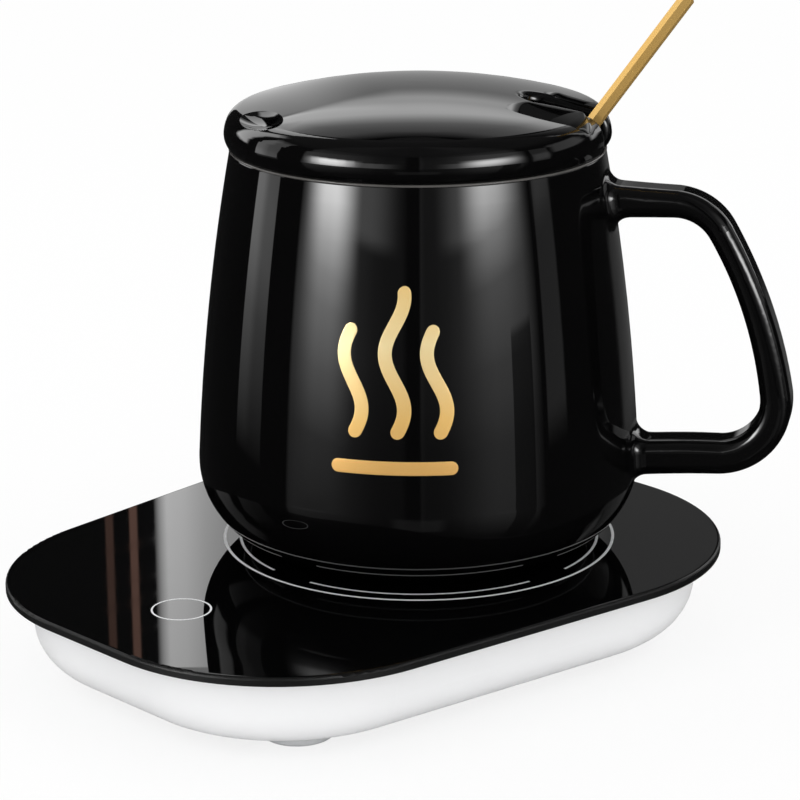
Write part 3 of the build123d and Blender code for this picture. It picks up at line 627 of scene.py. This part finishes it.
def shell(name, points, finish, close_path=False):
    """A closed skin through a grid of points: each row is one section round, the rows follow the path.
    The path's two ends meet where close_path is set, and otherwise each gets a flat cap."""
    rows, ring = points.shape[:2]
    index = np.arange(rows * ring).reshape(rows, ring)
    caps = [] if close_path else [index[0].tolist(), index[-1].tolist()]
    if close_path:
        index = np.vstack([index, index[:1]])
    index = np.hstack([index, index[:, :1]])
    mesh = bpy.data.meshes.new(name)
    mesh.from_pydata((points.reshape(-1, 3) * MM).tolist(), [], grid_faces(index) + caps)
    skin = bmesh.new()
    skin.from_mesh(mesh)
    bmesh.ops.recalc_face_normals(skin, faces=skin.faces)
    skin.to_mesh(mesh)
    skin.free()
    return show_mesh(name, mesh, finish)


def printed_ring(name, centre, radius, width, start, end, finish):
    """A film on the glass. Its section is carried round a circle from one angle to the other."""
    whole = end - start >= WHOLE_TURN
    count = max(RING_LEAST_POINTS, int((end - start) * RING_POINTS_PER_DEGREE))
    turn = np.radians(np.linspace(start, end, count, endpoint=not whole))[:, None]
    reach = radius + FILM[:, 0] * width / 2
    x = centre[0] + reach * np.cos(turn)
    y = centre[1] + reach * np.sin(turn)
    z = np.broadcast_to(GLASS_TOP + FILM[:, 1], x.shape)
    piece = shell(name, np.stack([x, y, z], axis=-1), finish, close_path=whole)
    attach(piece, "base")


def wall_radius(height):
    """The mug's outer wall: an arc that leaves the belly's round smoothly and ends at the rim.
    Its centre lies on the round's last normal, as far off as makes it pass through the rim."""
    normal = flat_direction(MUG_WALL_LEAN)
    foot = np.array([MUG_BELLY_R - MUG_CORNER, MUG_FOOT_LIFT + MUG_CORNER]) + MUG_CORNER * normal
    chord = np.array([MUG_RIM_R, MUG_H]) - foot
    reach = -(chord @ chord) / (2 * chord @ normal)
    middle = foot - reach * normal
    return middle[0] + np.sqrt(reach**2 - (height - middle[1]) ** 2)


def wall_stroke(name, across, height, half_width, finish):
    """A film on the mug's wall. The stroke's middle line is given as distance round the wall and height;
    its section lies square to that line, and the half width shrinks to round ends."""
    step_across = np.gradient(across)
    step_height = np.gradient(height)
    length = np.hypot(step_across, step_height)
    side = FILM[:, 0] * half_width[:, None]
    around = across[:, None] - side * (step_height / length)[:, None]
    upward = height[:, None] + side * (step_across / length)[:, None]
    turn = np.radians(MOTIF_FACING) + around / wall_radius(height.mean())
    reach = wall_radius(upward) + FILM[:, 1]
    points = np.stack([reach * np.cos(turn), reach * np.sin(turn), GLASS_TOP + upward], axis=-1)
    piece = shell(name, points, finish)
    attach(piece, "mug_body")


def round_ends(length):
    """Shares of the way along a stroke, close together at its ends, and the half width at each:
    full in the middle, a quarter circle at each end."""
    run = 0.5 - 0.5 * np.cos(np.linspace(0, np.pi, STROKE_POINTS))
    from_end = np.minimum(run, 1 - run) * length
    inside = np.clip(1 - from_end / STROKE_HALF, 0, 1)
    return run, STROKE_HALF * np.sqrt(np.clip(1 - inside**2, STROKE_LEAST, 1))


ink = white_ink()
printed_ring("heat_ring_outer", (0, 0), *OUTER_RING, 0, WHOLE_TURN, ink)
for number, (start, end) in enumerate(INNER_ARCS, start=1):
    printed_ring(f"heat_ring_inner_{number}", (0, 0), *INNER_RING, start, end, ink)
printed_ring("touch_ring", (TOUCH_X, 0), *TOUCH_RING, 0, WHOLE_TURN, ink)

gold_ink = gold_print()
for number, high in enumerate(STEAM_HIGH, start=1):
    climb = high - STEAM_LOW
    run, half = round_ends(climb)
    wave = (number - 2) * STEAM_GAP + STEAM_SWING * np.sin(2 * np.pi * run * climb / STEAM_WAVE)
    wall_stroke(f"motif_steam_{number}", wave, STEAM_LOW + run * climb, half, gold_ink)
run, half = round_ends(BAR_LENGTH)
wall_stroke("motif_bar", (run - 0.5) * BAR_LENGTH, np.full(STROKE_POINTS, BAR_HEIGHT), half, gold_ink)


def on_lid(along, across, lift):
    """Points on the lid by distance along and across the spoon's slot, lifted straight up:
    the dome's sphere, then the round of its shoulder, at that distance from the lid's axis."""
    cosine, sine = flat_direction(HANDLE_TURN)
    x = along * cosine - across * sine
    y = along * sine + across * cosine
    reach = np.hypot(x, y)
    dome = DOME_Z + np.sqrt(DOME_R**2 - np.minimum(reach, DOME_END[0]) ** 2)
    over = np.clip(reach - SHOULDER_AT[0], 0, SHOULDER_SHARE * LID_SHOULDER_R)
    shoulder = SHOULDER_AT[1] + np.sqrt(LID_SHOULDER_R**2 - over**2)
    return np.stack([x, y, GLASS_TOP + np.where(reach < DOME_END[0], dome, shoulder) + lift], axis=-1)


def slot_swell(name, centre, half_length, half_width, turn, height, crest):
    """A raised lip beside the slot, in the lid's own glaze. Rings of an oval, blunt at its outer end, shrink
    to a ridge that lies off the oval's middle by crest. The lift over the dome grows nearly straight from the
    outer ring to the ridge, and the ridge itself rises smoothly from the oval's inner tip. The first rings
    lie under the dome."""
    share = np.concatenate([SWELL_BELOW[:, 0], np.linspace(1.0, SWELL_LEAST, SWELL_RINGS)])[:, None]
    angle = np.linspace(0, 2 * np.pi, SWELL_POINTS, endpoint=False)
    wide = half_width * (1 + SWELL_FLARE * np.cos(angle))
    blunt = np.where(np.cos(angle) > 0, np.abs(np.cos(angle)) ** SWELL_BLUNT, np.cos(angle))
    run = (SWELL_RIDGE + (1 - SWELL_RIDGE) * share) * blunt
    rising = np.clip((run + 1) / SWELL_TIP, 0, 1)
    lift = height * (1 - share**SWELL_SLOPE) * rising**2 * (3 - 2 * rising) - SWELL_SEAT
    lift[: len(SWELL_BELOW)] = SWELL_BELOW[:, 1:]
    along = run * half_length
    across = share * wide * np.sin(angle) + crest * (1 - share)
    cosine, sine = flat_direction(turn)
    points = on_lid(
        centre[0] + along * cosine - across * sine,
        centre[1] + along * sine + across * cosine,
        lift,
    )
    piece = shell(name, points, finishes["lid"])
    piece.data.shade_smooth()
    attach(piece, "lid_body")


def rim_bead():
    """The thin pale line at the mug's rim: a small round section carried round the rim's circle. Its paler
    colour is a painted highlight.
    """
    turn = np.radians(np.arange(0, WHOLE_TURN, RIM_STEP))[:, None]
    bead = np.radians(np.arange(0, WHOLE_TURN, BEAD_STEP))
    reach = MUG_RIM_R + RIM_BEAD_HALF * np.cos(bead)
    x = reach * np.cos(turn)
    y = reach * np.sin(turn)
    z = np.broadcast_to(GLASS_TOP + MUG_H - RIM_BEAD_DROP + RIM_BEAD_HALF * np.sin(bead), x.shape)
    # the bead's paler finish is a painted highlight
    piece = shell("rim_bead", np.stack([x, y, z], axis=-1), rim_painted_highlight(), close_path=True)
    piece.data.shade_smooth()
    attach(piece, "mug_body")


for name, lip in SLOT_SWELLS.items():
    slot_swell(name, **lip)
rim_bead()


# Studio


def studio_point(right, away, up):
    """Points by distance to the right of the mug's axis, away from the camera, and up."""
    return np.multiply.outer(right, ACROSS) + np.multiply.outer(away, AWAY) + np.multiply.outer(up, UP)


def sheet_of_points(name, points, finish):
    """A stage surface through a grid of points, in metres."""
    rows, columns = points.shape[:2]
    index = np.arange(rows * columns).reshape(rows, columns)
    mesh = bpy.data.meshes.new(name)
    mesh.from_pydata(points.reshape(-1, 3).tolist(), [], grid_faces(index))
    mesh.shade_smooth()
    piece = show_mesh(name, mesh, finish)
    piece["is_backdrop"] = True
    return piece


def only_in_reflections(piece):
    """The tent and its cards show in polished surfaces alone."""
    piece.visible_camera = False
    piece.visible_diffuse = False
    piece.visible_transmission = False
    piece.visible_volume_scatter = False
    piece.visible_shadow = False


def pale_floor():
    """A plain pale table. What is seen of it is part white card and part lit surface, so the shadow stays."""
    f = Finish("pale_floor")
    drift = f.noise(f.place(), scale=3.0, detail=2.0)
    tone = f.mix(drift, (0.93, 0.93, 0.93), (0.95, 0.95, 0.95))
    lit = f.add("ShaderNodeBsdfDiffuse", None, {"Color": tone})
    card = f.add("ShaderNodeEmission", None, {"Color": WHITE, "Strength": 1.0})
    kinds = ("Camera", "Glossy", "Transmission")
    seen = sum(f.add("ShaderNodeLightPath", out=f"Is {kind} Ray") for kind in kinds)
    return f.show(f.add("ShaderNodeMixShader", None, {0: FLOOR_CARD * seen, 1: lit, 2: card}))


def patches(f, table, angle, climb):
    """The sum of plain patches of light: each is its level times its two windows."""
    rows = table.values()
    return sum(level * f.window(angle, *wide) * f.window(climb, *tall) for level, wide, tall in rows)


def tent_light():
    """The dark tent with its lights, by angle round the camera's side, angle round the far side, and height.
    At each side of the camera stand a tall softbox and a dim curtain, with a dark gap between them and a flag
    low on the right. A strip stands at the far left, and a narrow panel behind with two warm lines beside it.
    Plain patches fill in the rest. A reflection of a reflection shows all of it dimmer."""
    f = Finish("tent_light")
    place = f.place()
    right = f.along(place, ACROSS)
    away = f.along(place, AWAY)
    up = f.parts(place)[2]
    climb = up.bend((right * right + away * away) ** 0.5)
    front = right.bend(0 - away)
    back = right.bend(away)
    left_box = f.window(front, *LEFT_BOX_FRONT) * f.ramp(climb, LEFT_BOX_UP)
    right_box = f.window(front, *RIGHT_BOX_FRONT) * f.ramp(climb, RIGHT_BOX_UP)
    flag = 1 - FLAG_DARK * f.window(front, *FLAG_FRONT) * (1 - f.rise(climb, *FLAG_TOP))
    curtain = f.ramp(front, CURTAIN_FRONT) * f.ramp(climb, CURTAIN_UP) * flag
    fade = 1 - LEFT_STRIP_FADE * f.rise(front, *LEFT_STRIP_FADE_FRONT)
    left_strip = f.window(front, *LEFT_STRIP_FRONT) * fade * f.ramp(climb, LEFT_STRIP_UP)
    panel = f.ramp(back, PANEL_BACK) * f.window(climb, *PANEL_UP)
    cloth = TENT_CLOTH + TENT_TOP * f.rise(climb, *TENT_TOP_UP)
    fill = patches(f, FRONT_PATCHES, front, climb) + patches(f, BACK_PATCHES, back, climb)
    cool = cloth + left_box + right_box + curtain + left_strip + panel + fill
    warm = patches(f, WARM_PATCHES, back, climb)
    again = f.rise(f.add("ShaderNodeLightPath", out="Ray Depth"), *SECOND_RAYS)
    return f.glow(f.mix(warm / (warm + cool), WHITE, WARM), (warm + cool) * (1 - SECOND_DIM * again))


def card_places(f):
    """Distance to the right of the mug's axis, and height, in millimetres."""
    place = f.place()
    return f.along(place, ACROSS) / MM, f.parts(place)[2] / MM


def lid_panel_light():
    """A panel that the lid alone shows: a bright band, bowed down at its sides, over a dim one. The line
    between them is crisp at the left and soft further right."""
    f = Finish("lid_panel_light")
    side, up = card_places(f)
    soft_edge = f.ramp(side, BAND_LINE_SOFT)
    line = f.rise(up, BAND_LINE - soft_edge, BAND_LINE + BAND_LINE_TOP * soft_edge)
    band = line * f.ramp(up + BAND_BOW * side * side, BAND_UP)
    left = 1 - f.rise(side, *DIM_LEFT_SIDES)
    corner = f.rise(side, *CORNER_SIDES) * (1 - f.rise(up, *CORNER_TOP))
    dim = (DIM_LEVEL + DIM_LEFT * left) * (1 - f.rise(up, *DIM_TOP)) * (1 - CORNER_DARK * corner)
    return f.glow(WHITE, band + dim)


def dimple_card_light():
    """A card left of that panel, cut along a slant, that the lid's thumb recess shows."""
    f = Finish("dimple_card_light")
    side, up = card_places(f)
    past_cut = side - DIMPLE_CUT[0] + DIMPLE_SLANT * (up - DIMPLE_CUT[1])
    lit = f.rise(past_cut, -DIMPLE_CUT_SOFT, DIMPLE_CUT_SOFT) * f.rise(up, *DIMPLE_LOW)
    return f.glow(WHITE, DIMPLE_LEVEL * lit)


def right_card_light():
    """A card right of that panel: bright near its foot, dim above."""
    f = Finish("right_card_light")
    _, up = card_places(f)
    return f.glow(WHITE, f.ramp(up, RIGHT_CARD_UP))


def card_behind(name, sides, heights, finish):
    """An upright card behind the mug's axis, seen in reflections alone."""
    across = np.linspace(*sides, CARD_POINTS)
    upward = np.linspace(*heights, CARD_POINTS)
    side, height = np.meshgrid(across, upward, indexing="ij")
    only_in_reflections(sheet_of_points(name, studio_point(side, CARD_AWAY, height) * MM, finish))


def aim(piece, at, ahead, roll=0.0):
    """Stand a lamp or the camera at a point in metres, looking ahead, upright, then rolled by an angle."""
    level = np.cross(ahead, UP)
    level = level / np.linalg.norm(level)
    upright = np.cross(level, ahead)
    cosine, sine = flat_direction(roll)
    pose = np.eye(4)
    pose[:3] = np.transpose([cosine * level + sine * upright, cosine * upright - sine * level, -ahead, at])
    piece.matrix_world = Matrix(pose.tolist())


def lamp(name, at, size, power):
    """A soft square lamp that looks at the mug and stays out of reflections."""
    light = bpy.data.lights.new(name, "AREA")
    light.size = size
    light.energy = power
    piece = bpy.data.objects.new(name, light)
    bpy.context.scene.collection.objects.link(piece)
    toward = LAMP_AIM_Z * UP - at
    aim(piece, at, toward / np.linalg.norm(toward))
    piece.visible_glossy = False


span = np.linspace(-FLOOR_HALF, FLOOR_HALF, FLOOR_POINTS)
floor_x, floor_y = np.meshgrid(span, span, indexing="ij")
floor_points = np.stack([floor_x, floor_y, np.full_like(floor_x, -FLOOR_DROP)], axis=-1)
floor = sheet_of_points("floor", floor_points, pale_floor())
floor.visible_glossy = False  # the mug and the glass show the dark tent instead

around = np.linspace(0, 2 * np.pi, TENT_POINTS[0])
upward = np.linspace(-np.pi / 2, np.pi / 2, TENT_POINTS[1])
turn, climb = np.meshgrid(around, upward, indexing="ij")
ball = np.stack([np.cos(climb) * np.cos(turn), np.cos(climb) * np.sin(turn), np.sin(climb)], axis=-1)
only_in_reflections(sheet_of_points("studio_tent", TENT_R * ball, tent_light()))

card_behind("lid_panel", *LID_PANEL, lid_panel_light())
card_behind("dimple_card", *DIMPLE_CARD, dimple_card_light())
card_behind("right_card", *RIGHT_CARD, right_card_light())

world = bpy.data.worlds.new("studio_world")
bpy.context.scene.world = world
world.use_nodes = True
sky = world.node_tree.nodes["Background"]
sky.inputs["Color"].default_value = (*WHITE, 1.0)
sky.inputs["Strength"].default_value = SKY_LEVEL

for name, (place, size, power) in LAMPS.items():
    lamp(name, studio_point(*place), size, power)

camera = bpy.data.cameras.new("photo_camera")
camera.lens = CAMERA_LENS
camera.sensor_width = CAMERA_SENSOR
camera.clip_end = CAMERA_REACH
camera_piece = bpy.data.objects.new("photo_camera", camera)
bpy.context.scene.collection.objects.link(camera_piece)
level_share, climb_share = flat_direction(CAMERA_TILT)
ahead = np.append(level_share * flat_direction(CAMERA_HEADING), climb_share)
aim(camera_piece, CAMERA_AT * MM, ahead, CAMERA_ROLL)
bpy.context.scene.camera = camera_piece
bpy.context.scene.view_settings.view_transform = "Standard"

low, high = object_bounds()
